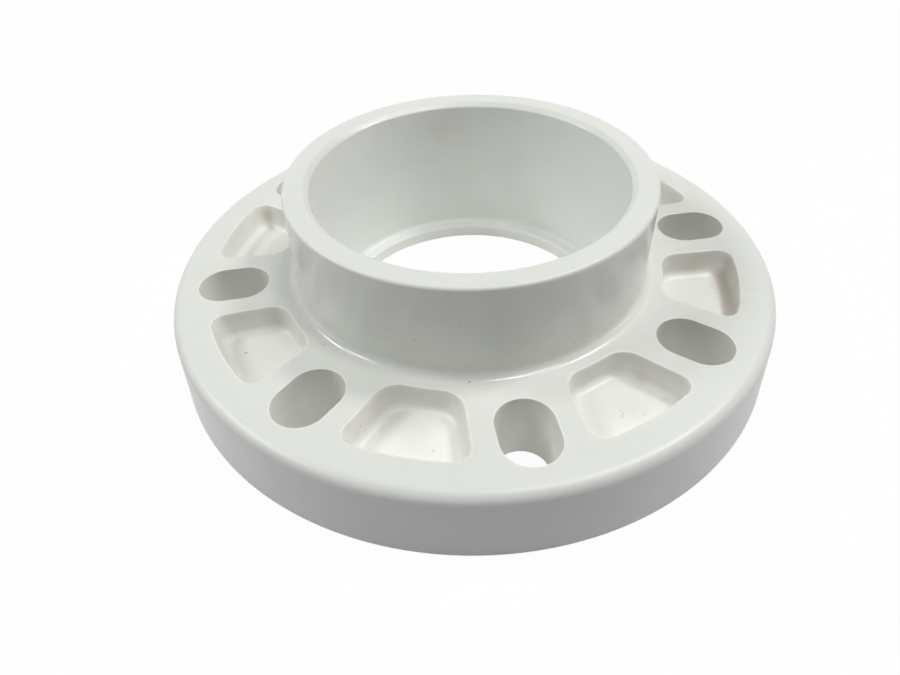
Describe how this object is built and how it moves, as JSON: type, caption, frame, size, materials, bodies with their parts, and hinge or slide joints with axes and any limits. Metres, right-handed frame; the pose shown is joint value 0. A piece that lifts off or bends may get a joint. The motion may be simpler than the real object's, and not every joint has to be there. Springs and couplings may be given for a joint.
{
  "type": "pipe socket flange",
  "caption": "White plastic pipe flange: a thick disc with long bolt slots and blind pockets between them, round a short hub with a glue-in pipe socket and a stop ledge.",
  "frame": {"origin": "centre of the sealing face, on the pipe's axis", "axes": "+Z along the pipe's axis, from the sealing face out of the socket; +X through the middle of a bolt slot"},
  "size_m": [0.231, 0.231, 0.0625],
  "materials": {
    "white_plastic": "as moulded, polished, a few dark specks"
  },
  "bodies": {
    "root": {"socket_flange": "white_plastic"}
  },
  "joints": []
}
